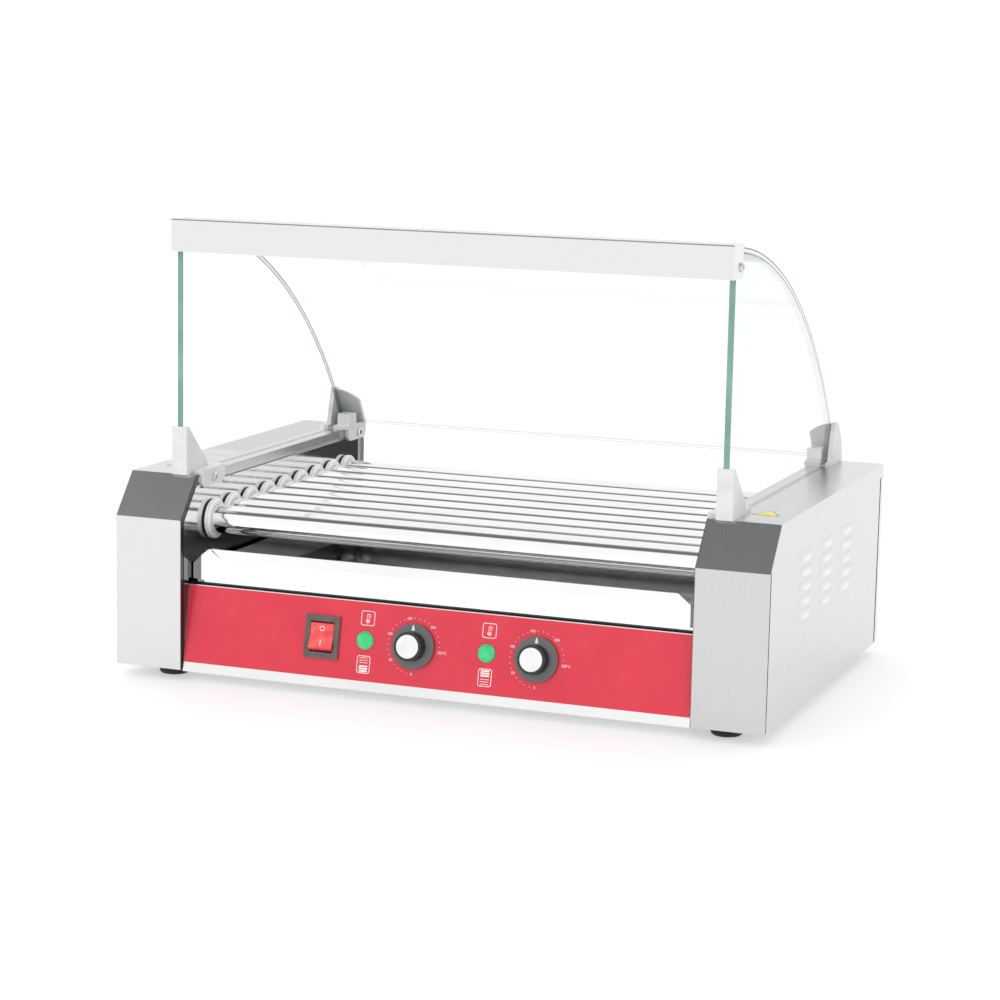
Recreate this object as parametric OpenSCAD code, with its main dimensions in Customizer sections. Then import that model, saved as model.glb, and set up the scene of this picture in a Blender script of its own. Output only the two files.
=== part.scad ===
// Hot dog roller grill with a curved glass hood, in millimetres.
// +Z is up and -Y is the operator's side. The origin is on the counter, under the middle of the
// bounding box. Inside from_front(), Y is measured backwards from the side boxes' front faces.

/* [Body] */
// Overall width across the two side boxes
body_w = 580; // [570:1:600]
// Depth of the side boxes, front face to rear face
body_d = 380; // [378:1:386]
// Height of the box tops above the counter
box_h = 175; // [172:1:180]
// Width of one side box
box_w = 62; // [60:1:66]
// Height at which the box front starts to slant back
front_h = 140; // [136:1:144]
// How far back the slanted part of the box front reaches
slant_d = 29; // [26:1:32]
// Height of the rubber feet
foot_h = 10; // [9:1:12]
// Thickness of the folded steel sheet
sheet = 1; // [0.8:0.1:1.1]

/* [Rollers] */
// Outside diameter of a roller tube
roller_d = 25; // [24:0.5:26]
// Distance between roller axes
roller_pitch = 35; // [34.8:0.1:35.2]
// Distance of the first roller axis behind the box fronts
first_roller_y = 57; // [56:0.5:58]
// Height of the roller axes above the counter
roller_z = 133.5; // [132:0.5:136]
// Outside diameter of the white collars
collar_d = 34.5; // [33:0.5:34.5]
// Diameter of the heating rods inside the rollers
rod_d = 8; // [6:0.5:9]

/* [Hood] */
// Outer radius of the curved glass
hood_r = 417; // [415:1:419]
// Thickness of the side and curved glass
glass_t = 5; // [4:0.5:5]
// Distance from the middle to the outer face of each side glass
glass_x = 245.5; // [244:0.5:246]
// Height of the header bar's top above the counter
header_top = 394.5; // [394:0.5:398]
// Height of the header bar's front face
header_h = 27.5; // [24:0.5:32]
// Depth of the header bar, front to back
header_d = 26; // [24:1:30]

/* [Controls] */
// Lean of the control panel from the vertical, in degrees
panel_tilt = 10.4; // [8:0.1:12]
// Height of the middle of the dials along the panel
dial_up = 41.8; // [38:0.1:46]
// Diameter of the knob skirt
knob_d = 38; // [34:0.5:42]
// Sideways position of the front-zone knob
left_dial_x = -15.8; // [-25:0.1:-8]
// Sideways position of the rear-zone knob
right_dial_x = 93.3; // [85:0.1:105]
// Sideways position of the power switch
switch_x = -98.8; // [-110:0.1:-90]

/* [Drip tray] */
// Height of the drip tray's side walls
tray_wall_h = 15; // [10:1:18]
// Top of the drip tray's front above the counter
tray_top = 113.9; // [108:0.1:114]

/* [Drive] */
// Teeth on the motor sprocket
motor_teeth = 12; // [12:1:13]

/* [Hidden] */
$fn = 64;

steel = [0.80, 0.81, 0.82];
polished = [0.88, 0.89, 0.90];
dark_steel = [0.55, 0.56, 0.57];
clear_glass = [0.75, 0.90, 0.86, 0.35];
bracket_grey = [0.78, 0.78, 0.77];
black = [0.08, 0.08, 0.08];

// Clearances
gap = 0.2;          // between folded sheets that face each other
move_gap = 0.35;    // between a moving piece and its neighbours
fit_gap = 0.06;     // radial, in a running fit

// Side boxes, seen from the middle: front cover edge, top cover edge, inner wall face
x_out = body_w / 2;
x_in = x_out - box_w;
x_top = x_in + 2.3;
x_wall = x_in - 0.4;
wall_t = 1.5;
z0 = foot_h;
rise = box_h - front_h;
slant_len = norm([slant_d, rise]);
flange = 12;
wall_flange = 15;
wall_top = box_h - 9;
wall_front = 5.3;
return_w = 5;
cover_seam = 3.2;
cover_back = body_d - 12;
back_return = 8.5;
top_flange_h = 10;

// Louvres on the outer sides
louvre_cols = 3;
louvre_rows = 5;
louvre_first_y = 110;
louvre_step_y = 67.5;
louvre_first_z = 84.5;
louvre_step_z = 12.2;
louvre_len = 40;
louvre_h = 8;
louvre_out = 2;
louvre_sheet = 0.8;

// Rollers, their journals and bushes
roller_count = 9;
roller_r = roller_d / 2;
tube_wall = 1;
bush_face_x = x_wall - 6.1;
bush_flange_t = 4.5;
bush_recess = 1.5;
shoulder_x = bush_face_x + bush_recess - 0.3;
journal_r = 8;
journal_bore_r = 6;
spigot_r = 11;
bush_out_x = x_wall + wall_t + 2;
left_journal_x = bush_out_x + 3;
right_journal_x = bush_out_x + 16;
end_disc_t = 2;
function roller_y(i) = first_roller_y + (i - 1) * roller_pitch;

// Chain drive in the right box
roller_teeth = 10;
chain_pitch = 8;
sprocket_x = x_wall + 13.5;
tooth_t = 2.8;
chain_roller_r = 2.5;
seat_r = 2.6;
tooth_over = 0.65;
function pitch_r(teeth) = chain_pitch / 2 / sin(180 / teeth);
function tip_r(teeth) = pitch_r(teeth) + tooth_over;
function chain_r(teeth) = tip_r(teeth) + move_gap + chain_roller_r;
motor_y = body_d / 2 + 7;
motor_z = 58;
hubs = [[roller_y(1), roller_z, chain_r(roller_teeth)],
    [roller_y(roller_count), roller_z, chain_r(roller_teeth)],
    [motor_y, motor_z, chain_r(motor_teeth)]];
function next(i) = (i + 1) % 3;
function apart(a, b) = norm([b[0] - a[0], b[1] - a[1]]);
function normal_angle(a, b) =
    atan2(b[1] - a[1], b[0] - a[0]) + acos((a[2] - b[2]) / apart(a, b));
function wrap_angle(a, b) = (a - b + 720) % 360;
normals = [for (i = [0:2]) normal_angle(hubs[i], hubs[next(i)])];
runs = [for (i = [0:2])
    sqrt(pow(apart(hubs[i], hubs[next(i)]), 2) - pow(hubs[i][2] - hubs[next(i)][2], 2))];
legs = [for (i = [0:2])
    runs[i] + hubs[next(i)][2] * wrap_angle(normals[i], normals[next(i)]) * PI / 180];
chain_len = legs[0] + legs[1] + legs[2];
link_count = 2 * round(chain_len / chain_pitch / 2);
function around(hub, angle) = [hub[0] + hub[2] * cos(angle), hub[1] + hub[2] * sin(angle)];
function on_leg(i, s) = s < runs[i]
    ? around(hubs[i], normals[i]) + s * [sin(normals[i]), -cos(normals[i])]
    : around(hubs[next(i)], normals[i] - (s - runs[i]) / hubs[next(i)][2] * 180 / PI);
function chain_at(s, i = 0) =
    i == 2 || s <= legs[i] ? on_leg(i, s) : chain_at(s - legs[i], i + 1);
function chain_pin(i) = chain_at((i % link_count) * chain_len / link_count);

// Heating rods and their end supports
rod_half = x_out - 24;
terminal_half = x_out - 15;
support_x = x_out - 28;
support_t = 1.5;
support_low = roller_z - 15;
support_high = roller_z + 15;
support_front = 27;
support_back = body_d - 13;

// Control panel: outer face from its lower edge, leaning back
panel_y = 1.8;
panel_z = z0 - 1;
panel_h = 73.8;
panel_len = panel_h / cos(panel_tilt);
panel_half = x_wall - 0.4;
panel_top_z = panel_z + panel_h;
panel_top_y = panel_y + panel_h * tan(panel_tilt);
sill_depth = 22;
panel_flange = 19;
label_t = 0.3;
label_low = 8.2;
switch_hole = [26.8, 30.4];
lamp_hole_r = 5.1;
dial_hole_r = 5.2;
lamp_offset = -43.9;
lamp_up = 42.4;

// Knobs, in heights above the panel face
skirt_low = 1;
skirt_high = 4;
knob_high = 14;
grip_r = 12.2;
flutes = 30;
cap_r = 9.8;
cap_proud = 0.5;
spindle_r = 3;

// Distance that the lowest point of a knob cap stands in front of the box fronts
knob_reach = (knob_high + cap_proud) * cos(panel_tilt) + cap_r * sin(panel_tilt)
    - panel_y - dial_up * sin(panel_tilt);
gland_out = 10;
front_y = -(body_d + gland_out - knob_reach) / 2;

// Rocker switch
bezel = [31, 36];
bezel_t = 2.5;
rocker_half_w = 10.5;
rocker_r = 12.6;
rocker_rest = 9;
rocker_pivot = -3;

// Tray deck and drip tray
deck_z = panel_top_z + 0.1;
deck_front = 20;
tray_t = 0.8;
tray_z = deck_z + sheet + 0.3;
tray_half = x_in - 5;
tray_front_half = x_in - 1.5;
tray_front_y = 17;
tray_back_y = body_d - 8;
tray_crease_z = tray_top - 8.4;
tray_chamfer = [16, 13.5];
tray_flap = 10;
tray_fold = 20;
tray_lip_back = 3;

// Hood
arc_y = 10;
arc_z = header_top - 1.5 - hood_r;
glass_low = box_h + 0.4;
curved_low = box_h + 6;
header_y = 18;
header_sheet = 0.8;
header_inner = glass_x + gap;
glass_front_y = 28;
header_screw = [header_y + 20, header_top - header_h + 9];
curve_start = asin((curved_low - arc_z) / hood_r);
curve_end = acos((header_y + 2.5 - arc_y) / hood_r);

// Glass brackets
block_in = glass_x - 9.5;
block_out = glass_x + 4.5;
bracket_foot_t = 3.5;
foot_top = box_h + bracket_foot_t;
lug_in = x_top - 4;
lug_out = x_top - 0.3;
lug_low = box_h - 12;
lug_r = 7;
front_lug_y = [36, 80];
rear_lug_y = [342, 384];
front_screw = [59, box_h - 5];
rear_screw = [367, box_h - 5.4];
slot_gap = 0.2;

// Feet and screws
foot_x = x_out - 40;
foot_y = 31;
foot_r = 13;
screw_r = 2;
hole_r = 2.2;
head_r = 3.9;
head_h = 2.2;
sill_screw_y = panel_y + 8;
sill_screw_step = 140;
back_screw_x = x_wall + 10;
back_screw_z = [24, 158];
gland_pos = [x_out - 26, 42];
gland_r = 8;

// Vent slots in the base
vent_y = [120, 250];
vent_step = 40;
vent_w = 6;
vent_len = 60;

module from_front() { translate([0, front_y, 0]) children(); }

// Extrude a (Y, Z) outline along X
module along_x(x0, x1) { translate([x0, 0, 0]) rotate([90, 0, 90]) linear_extrude(x1 - x0) children(); }

// Extrude an (X, Z) outline along Y
module along_y(y0, y1) { translate([0, y1, 0]) rotate([90, 0, 0]) linear_extrude(y1 - y0) children(); }

// Box from its lowest to its highest corner
module block(low, high) { translate(low) cube(high - low); }

// Axis along X at (Y, Z)
module x_axis_at(y, z) { translate([0, y, z]) rotate([0, 90, 0]) children(); }

module both_sides() {
    children();
    mirror([1, 0, 0]) children();
}

// Local frame on the control panel: X across, Y up the panel, Z out of its face
module on_panel(x, up) {
    translate([x, panel_y, panel_z]) rotate([90 - panel_tilt, 0, 0]) translate([0, up, 0]) children();
}

// Front outline of a side box, set inwards by d, between the heights low and top
function front_line(d, top, low = z0) = [[d, low], [d, front_h - d * (slant_len - rise) / slant_d],
    [slant_d * (top - front_h) / rise + d * slant_len / rise, top]];
function reversed(list) = [for (i = [len(list) - 1:-1:0]) list[i]];

module base_pan() {
    edge = x_out - sheet - gap;
    back = body_d - sheet - gap;
    color(dark_steel) from_front() difference() {
        union() {
            block([-edge, sheet + gap, z0], [edge, back, z0 + sheet]);
            both_sides() block([edge - sheet, sheet + gap, z0], [edge, cover_back, z0 + flange]);
        }
        block([-x_in, 0, z0 - 1], [x_in, panel_y + 1.8, z0 + 2]);
        for (x = [-foot_x, foot_x], y = [foot_y, body_d - foot_y])
            translate([x, y, z0 - 1]) cylinder(r = hole_r, h = 3);
        for (i = [-1:1]) translate([i * sill_screw_step, sill_screw_y, z0 - 1])
            cylinder(r = hole_r, h = 3);
        for (i = [-4:4], y = vent_y)
            translate([i * vent_step, y, 0])
                block([-vent_w / 2, 0, z0 - 1], [vent_w / 2, vent_len, z0 + 2]);
    }
}

module back_panel() {
    edge = x_out - sheet - gap;
    low = z0 + sheet + gap;
    middle_top = roller_z - 3.5;
    inside = x_wall - gap - sheet;
    cover_low = box_h - flange - 0.3;
    color(steel) from_front() difference() {
        union() {
            block([-edge, body_d - sheet, z0], [edge, body_d, middle_top]);
            both_sides() {
                block([inside, body_d - sheet, z0], [x_out - sheet / 2, body_d, cover_low]);
                block([x_top + sheet + gap, body_d - sheet, cover_low - sheet],
                    [edge, body_d, box_h - sheet - gap]);
                block([x_out - sheet, body_d - back_return, z0], [x_out, body_d, cover_low]);
                block([inside, body_d - back_return, middle_top - sheet / 2],
                    [inside + sheet, body_d - sheet / 2, cover_low]);
            }
            block([-x_wall + gap, body_d - 14, middle_top - sheet],
                [x_wall - gap, body_d - sheet / 2, middle_top]);
            block([-x_wall + gap, body_d - 14, middle_top - 8],
                [x_wall - gap, body_d - 14 + sheet, middle_top - sheet / 2]);
        }
        for (x = [-back_screw_x, back_screw_x], z = back_screw_z)
            translate([x, body_d + 1, z]) rotate([90, 0, 0]) cylinder(r = hole_r, h = 3);
        translate([gland_pos[0], body_d + 1, gland_pos[1]]) rotate([90, 0, 0])
            cylinder(r = gland_r + 0.1, h = 3);
    }
}

module panel_cuts() {
    on_panel(switch_x, dial_up) translate([0, 0, -5])
        linear_extrude(12) square(switch_hole, center = true);
    for (x = [left_dial_x, right_dial_x]) {
        on_panel(x, dial_up) translate([0, 0, -5]) cylinder(r = dial_hole_r, h = 12);
        on_panel(x + lamp_offset, lamp_up) translate([0, 0, -5]) cylinder(r = lamp_hole_r, h = 12);
    }
}

module control_panel() {
    skin = sheet / cos(panel_tilt);
    flange_back = panel_top_y + panel_flange;
    section = [[panel_y, panel_z], [panel_y + sill_depth, panel_z],
        [panel_y + sill_depth, panel_z + 0.9], [panel_y + skin + 0.2, panel_z + 0.9],
        [panel_top_y + skin - 0.2, panel_top_z - sheet], [flange_back, panel_top_z - sheet],
        [flange_back, panel_top_z], [panel_top_y, panel_top_z]];
    color(polished) from_front() difference() {
        along_x(-panel_half, panel_half) polygon(section);
        panel_cuts();
        for (i = [-1:1]) translate([i * sill_screw_step, sill_screw_y, panel_z - 1])
            cylinder(r = hole_r, h = 3);
    }
}

module panel_label() {
    color([0.88, 0.25, 0.32]) from_front() difference() {
        on_panel(0, 0) block([-panel_half + 0.4, label_low, 0], [panel_half - 0.4, panel_len - 0.6, label_t]);
        panel_cuts();
    }
}

// One pressed louvre: a bulge that is open along its lower edge
module louvre_bulge(out) {
    r = (pow(louvre_len / 2, 2) + out * out) / (2 * out);
    intersection() {
        translate([out - r, 0, -louvre_h]) cylinder(r = r, h = 3 * louvre_h, $fn = 180);
        along_y(-louvre_len, louvre_len)
            polygon([[-sheet / 2, 0], [louvre_out, 0], [out, louvre_h * 0.35], [0, louvre_h],
                [-sheet / 2, louvre_h]]);
    }
}

module each_louvre() {
    for (c = [0:louvre_cols - 1], r = [0:louvre_rows - 1])
        translate([x_out, louvre_first_y + c * louvre_step_y, louvre_first_z + r * louvre_step_z])
            children();
}

module side_cover() {
    line = front_line(sheet + gap, box_h);
    seam_top = line[1][1] + (cover_seam - line[1][0]) * rise / slant_d;
    side = [[cover_seam, z0], [cover_seam, seam_top], line[2], [body_d, box_h],
        [body_d, box_h - flange], [cover_back, box_h - flange], [cover_back, z0]];
    top_front = line[2][0];
    difference() {
        union() {
            along_x(x_out - sheet, x_out) polygon(side);
            block([x_top, top_front, box_h - sheet], [x_out - sheet / 2, body_d, box_h]);
            block([x_top, top_front, box_h - top_flange_h], [x_top + sheet, body_d, box_h]);
            each_louvre() louvre_bulge(louvre_out);
        }
        each_louvre() translate([-louvre_sheet, 0, -0.01]) louvre_bulge(louvre_out);
        each_louvre() block([-sheet - 1, 3 - louvre_len / 2, 0.01], [-0.4, louvre_len / 2 - 3, 2.6]);
        for (s = [front_screw, rear_screw]) x_axis_at(s[0], s[1])
            translate([0, 0, x_top - 2]) cylinder(r = hole_r, h = 5);
    }
}

module right_side_cover() { color(steel) from_front() side_cover(); }
module left_side_cover() { color(steel) from_front() mirror([1, 0, 0]) side_cover(); }

module front_cover() {
    along_x(x_in, x_out) polygon(concat(front_line(0, box_h), reversed(front_line(sheet, box_h))));
    low = z0 + sheet + gap;
    along_x(x_in, x_in + sheet) polygon(concat(front_line(sheet / 2, box_h - gap, low),
        reversed(front_line(return_w, box_h - gap, low))));
}

module right_front_cover() { color(steel) from_front() front_cover(); }
module left_front_cover() { color(steel) from_front() mirror([1, 0, 0]) front_cover(); }

module inner_wall() {
    front = wall_front;
    low = z0 + sheet + gap;
    back = body_d - sheet - gap;
    line = front_line(front, wall_top);
    notch_low = lug_low - 0.3;
    outline = [[front, low], line[1], line[2], [back, wall_top], [back, low]];
    difference() {
        union() {
            along_x(x_wall, x_wall + wall_t) polygon(outline);
            block([x_wall, front, low], [x_wall + wall_flange, front + wall_t, line[1][1] - 4]);
            block([x_wall, back - wall_t, low], [x_wall + wall_flange, back, wall_top - 2]);
            block([x_wall, front, low], [x_wall + wall_flange, back, low + wall_t]);
        }
        for (i = [1:roller_count]) x_axis_at(roller_y(i), roller_z)
            translate([0, 0, x_wall - 1]) cylinder(r = spigot_r + 0.1, h = 4);
        for (y = [front_lug_y, rear_lug_y])
            block([x_wall - 1, y[0] - 0.3, notch_low], [x_wall + 3, y[1] + 0.3, box_h]);
        for (z = back_screw_z) translate([back_screw_x, body_d, z]) rotate([90, 0, 0])
            cylinder(r = hole_r, h = 6);
    }
}

module right_inner_wall() { color(polished) from_front() inner_wall(); }
module left_inner_wall() { color(polished) from_front() mirror([1, 0, 0]) inner_wall(); }

module tray_deck() {
    half = x_wall - gap;
    back = body_d - sheet - gap;
    color(dark_steel) from_front() {
        block([-half, deck_front, deck_z], [half, back, deck_z + sheet]);
        both_sides() block([half - sheet, panel_top_y + panel_flange + 2, deck_z - flange],
            [half, back, deck_z + sheet / 2]);
    }
}

module drip_tray() {
    side_top = tray_z + tray_wall_h;
    corner = tray_front_half - tray_chamfer[0];
    crease = corner - 13;
    plate_low = tray_z + 3;
    inner_y = tray_front_y + tray_lip_back + 2;
    fold_x = tray_front_half - tray_flap * cos(tray_fold);
    plate = [[-tray_front_half, plate_low], [tray_front_half, plate_low],
        [tray_front_half, tray_top - tray_chamfer[1]], [corner, tray_top],
        [corner - 1.5, tray_top], [crease, tray_crease_z], [-crease, tray_crease_z],
        [1.5 - corner, tray_top], [-corner, tray_top],
        [-tray_front_half, tray_top - tray_chamfer[1]]];
    tip = [tray_front_half, tray_front_y + tray_flap * sin(tray_fold)];
    half_plan = [[fold_x, tray_front_y], tip, tip + [-sin(tray_fold), cos(tray_fold)],
        [fold_x - tan(tray_fold / 2), tray_front_y + 1]];
    plan = concat(half_plan, [for (p = reversed(half_plan)) [-p[0], p[1]]]);
    mitre = [[crease - 0.3, tray_crease_z - 0.5], [crease + 1.2, tray_crease_z - 0.5],
        [corner - 0.3, tray_top - 0.2], [corner - 1.8, tray_top - 0.2]];
    lip = [[tray_front_y, tray_crease_z], [tray_front_y + tray_lip_back, tray_top],
        [inner_y + 1, tray_top], [inner_y + 1, tray_top - 1.4],
        [tray_front_y + tray_lip_back + 0.5, tray_top - 1.4],
        [tray_front_y + 1.2, tray_crease_z - 0.6], [tray_front_y, tray_crease_z - 0.6]];
    lip_face = [[-crease, tray_crease_z - 1], [crease, tray_crease_z - 1], [crease, tray_crease_z],
        [corner - 1.2, tray_top], [1.2 - corner, tray_top], [-crease, tray_crease_z]];
    color(polished) from_front() {
        intersection() {
            along_y(tray_front_y - 1, tray_front_y + 8) polygon(plate);
            translate([0, 0, plate_low - 1]) linear_extrude(tray_top) polygon(plan);
        }
        intersection() {
            along_x(-corner, corner) polygon(lip);
            along_y(tray_front_y - 1, tray_front_y + 20) polygon(lip_face);
        }
        both_sides() along_y(tray_front_y + 0.5, tray_front_y + tray_lip_back + 0.5) polygon(mitre);
        block([2 - corner, inner_y, tray_z], [corner - 2, inner_y + 1, tray_top - 0.5]);
        block([-tray_half, inner_y, tray_z], [tray_half, tray_back_y, tray_z + tray_t]);
        both_sides() block([tray_half - tray_t, inner_y, tray_z], [tray_half, tray_back_y, side_top]);
        block([-tray_half, inner_y, tray_z], [tray_half, inner_y + 1, side_top]);
        block([-tray_half, tray_back_y - tray_t, tray_z], [tray_half, tray_back_y, side_top]);
        block([-fold_x, tray_front_y + 0.5, plate_low], [fold_x, inner_y + 0.5, plate_low + 1]);
    }
}

// One PTFE bush, axis along +X from the wall towards the outside
module bush() {
    rotate_extrude() polygon([[journal_r + fit_gap, bush_face_x + bush_recess],
        [roller_r + move_gap, bush_face_x + bush_recess], [roller_r + move_gap, bush_face_x],
        [collar_d / 2 - 1.2, bush_face_x], [collar_d / 2, bush_face_x + 1.2],
        [collar_d / 2, bush_face_x + bush_flange_t], [spigot_r, bush_face_x + bush_flange_t],
        [spigot_r, bush_out_x], [journal_r + fit_gap, bush_out_x]]);
}

module roller_bushes() {
    color("white") from_front() both_sides() for (i = [1:roller_count])
        x_axis_at(roller_y(i), roller_z) bush();
}

module roller_seals() {
    from_x = bush_face_x + bush_flange_t;
    color(black) from_front() both_sides() for (i = [1:roller_count])
        x_axis_at(roller_y(i), roller_z) translate([0, 0, from_x]) difference() {
            cylinder(r = collar_d / 2 - 1.2, h = x_wall - from_x);
            translate([0, 0, -1]) cylinder(r = spigot_r + 0.05, h = x_wall - from_x + 2);
        }
}

// One roller: a tube closed by two discs, each with a hollow journal
module roller(i) {
    bore = roller_r - tube_wall;
    disc = shoulder_x - end_disc_t;
    color(polished) from_front() x_axis_at(roller_y(i), roller_z) rotate_extrude() polygon([
        [journal_bore_r, -left_journal_x], [journal_r, -left_journal_x],
        [journal_r, -shoulder_x], [roller_r - 0.6, -shoulder_x], [roller_r, 0.6 - shoulder_x],
        [roller_r, shoulder_x - 0.6], [roller_r - 0.6, shoulder_x], [journal_r, shoulder_x],
        [journal_r, right_journal_x], [journal_bore_r, right_journal_x],
        [journal_bore_r, disc], [bore, disc], [bore, -disc], [journal_bore_r, -disc]]);
}

module sprocket_outline(teeth) {
    difference() {
        circle(r = tip_r(teeth));
        for (i = [0:teeth - 1]) rotate(i * 360 / teeth) translate([pitch_r(teeth), 0])
            circle(r = seat_r, $fn = 32);
    }
}

module sprocket(i) {
    hub_x = bush_out_x + move_gap;
    color(dark_steel) from_front() x_axis_at(roller_y(i), roller_z) difference() {
        union() {
            translate([0, 0, sprocket_x - tooth_t / 2]) linear_extrude(tooth_t)
                sprocket_outline(roller_teeth);
            translate([0, 0, hub_x]) cylinder(r = journal_r + 1.8, h = right_journal_x - 1 - hub_x);
        }
        translate([0, 0, hub_x - 1]) cylinder(r = journal_r + 0.02, h = right_journal_x);
    }
}

module heating_rods() {
    color(dark_steel) from_front() for (i = [1:roller_count]) x_axis_at(roller_y(i), roller_z) {
        translate([0, 0, -rod_half]) cylinder(d = rod_d, h = 2 * rod_half);
        translate([0, 0, -terminal_half]) cylinder(r = 1.6, h = 2 * terminal_half);
    }
}

module rod_support() {
    wall = x_wall + wall_t;
    difference() {
        union() {
            block([support_x, support_front, support_low],
                [support_x + support_t, support_back, support_high]);
            for (y = [support_front, support_back - support_t]) {
                block([wall, y, support_low], [support_x + support_t, y + support_t, support_high]);
            }
            block([wall, support_front - flange, support_low],
                [wall + support_t, support_front + support_t, support_high]);
        }
        for (i = [1:roller_count]) x_axis_at(roller_y(i), roller_z)
            translate([0, 0, support_x - 1]) cylinder(r = rod_d / 2 + 0.1, h = 4);
    }
}

module rod_supports() { color(steel) from_front() both_sides() rod_support(); }

// One link plate between two chain pins, in the (Y, Z) plane
module link_plate(a, b) {
    span = norm(b - a);
    ends = [for (k = [0:5]) [-3.3 * sin(k * 36), 3.3 * cos(k * 36)]];
    translate(a) rotate(atan2(b[1] - a[1], b[0] - a[0]))
        polygon(concat(ends, [for (p = ends) [span, 0] - p]));
}

module drive_chain() {
    inner = [1.65, 2.4];
    outer = [2.45, 3.2];
    color(dark_steel) from_front() for (i = [0:link_count - 1]) {
        side = i % 2 == 0 ? inner : outer;
        for (s = [-1, 1]) {
            low = sprocket_x + min(s * side[0], s * side[1]);
            along_x(low, low + side[1] - side[0]) link_plate(chain_pin(i), chain_pin(i + 1));
        }
        pin = chain_pin(i);
        x_axis_at(pin[0], pin[1]) translate([0, 0, sprocket_x - inner[0] + 0.05])
            cylinder(r = chain_roller_r, h = 2 * inner[0] - 0.1, $fn = 16);
    }
}

module motor_shaft() {
    color(polished) from_front() x_axis_at(motor_y, motor_z)
        translate([0, 0, sprocket_x - 8]) cylinder(r = 3.5, h = 26);
}

module motor_sprocket() {
    low = sprocket_x - 7;
    color(dark_steel) from_front() x_axis_at(motor_y, motor_z) difference() {
        union() {
            translate([0, 0, sprocket_x - tooth_t / 2]) linear_extrude(tooth_t)
                sprocket_outline(motor_teeth);
            translate([0, 0, low]) cylinder(r = 8, h = sprocket_x + tooth_t / 2 - low);
        }
        translate([0, 0, low - 1]) cylinder(r = 3.52, h = 20);
    }
}

// Gear motor: gearbox case, motor can and terminal cap, with a bore for its shaft
module gear_motor() {
    x = sprocket_x + 9;
    color([0.72, 0.72, 0.70]) from_front() x_axis_at(motor_y, motor_z) difference() {
        union() {
            translate([0, 0, x - 2]) cylinder(r = 8, h = 3);
            translate([0, -10, x]) cylinder(r = 30, h = 14);
            translate([0, -10, x + 14 - 0.01]) cylinder(r = 28, h = 16);
        }
        translate([0, 0, x - 3]) cylinder(r = 3.5 + fit_gap, h = 14);
    }
}

// Z-shaped bracket from the inner wall's foot to the gearbox face
module motor_bracket() {
    face_x = sprocket_x + 9;
    wall = x_wall + wall_t;
    half = 38;
    floor_z = z0 + sheet + gap + wall_t;
    color(steel) from_front() difference() {
        union() {
            block([wall, motor_y - half, floor_z], [face_x, motor_y + half, floor_z + support_t]);
            block([face_x - support_t, motor_y - half, floor_z], [face_x, motor_y + half, motor_z - 20]);
            for (s = [-1, 1]) block([face_x - support_t, motor_y + s * 31 - 7, floor_z],
                [face_x, motor_y + s * 31 + 7, motor_z + 20]);
        }
    }
}

module thermostat(x) {
    on_panel(x, dial_up) difference() {
        union() {
            translate([-17, -17, -24]) cube([34, 34, 22]);
            translate([-20, -9, -2.2]) cube([40, 18, 1.1]);
            translate([0, 0, -2.1]) cylinder(r = 5, h = 2.9);
            for (s = [-1, 1]) translate([s * 9 - 3.2, 6, -31]) cube([6.4, 0.8, 8]);
        }
        translate([0, 0, -16]) cylinder(r = spindle_r + fit_gap, h = 20);
    }
}

module thermostats() {
    color([0.86, 0.84, 0.78]) from_front() for (x = [left_dial_x, right_dial_x]) thermostat(x);
}

// Spindle from the thermostat to the knob: round below, D-shaped above the panel
module spindle(x) {
    color(polished) from_front() on_panel(x, dial_up) {
        translate([0, 0, -15]) cylinder(r = spindle_r, h = 15.8);
        translate([0, 0, 0.8]) linear_extrude(9.9) spindle_outline(spindle_r);
    }
}

module left_spindle() { spindle(left_dial_x); }
module right_spindle() { spindle(right_dial_x); }

module fluted_grip() {
    difference() {
        circle(r = grip_r);
        for (k = [0:flutes - 1]) rotate(k * 360 / flutes) translate([grip_r + 0.35, 0])
            circle(r = 0.75, $fn = 32);
    }
}

// D-shaped outline of a spindle, or of its bore
module spindle_outline(r) {
    intersection() {
        circle(r = r);
        translate([-4, -4]) square([8, 4 + 1.6 + r - spindle_r]);
    }
}

module knob(x) {
    recess = cap_r + 0.1;
    color([0.20, 0.20, 0.20]) from_front() on_panel(x, dial_up) difference() {
        union() {
            rotate_extrude() polygon([[0, skirt_low], [knob_d / 2 - 0.4, skirt_low],
                [knob_d / 2, skirt_low + 0.5], [knob_d / 2, skirt_high - 1.2],
                [knob_d / 2 - 0.8, skirt_high - 0.6], [grip_r + 0.6, skirt_high], [0, skirt_high]]);
            translate([0, 0, skirt_high - 0.5]) linear_extrude(knob_high - skirt_high + 0.5)
                fluted_grip();
        }
        translate([0, 0, knob_high - 1]) cylinder(r = recess, h = 2);
        translate([0, 0, skirt_low - 1]) linear_extrude(11.5) spindle_outline(spindle_r + 0.05);
    }
}

module left_knob() { knob(left_dial_x); }
module right_knob() { knob(right_dial_x); }

module knob_cap(x) {
    color(polished) from_front() on_panel(x, dial_up) rotate_extrude()
        polygon([[0, knob_high - 0.95], [cap_r, knob_high - 0.95],
            [cap_r, knob_high + cap_proud - 0.01], [cap_r - 0.01, knob_high + cap_proud],
            [0, knob_high + cap_proud]]);
}

module left_knob_cap() { knob_cap(left_dial_x); }
module right_knob_cap() { knob_cap(right_dial_x); }

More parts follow.
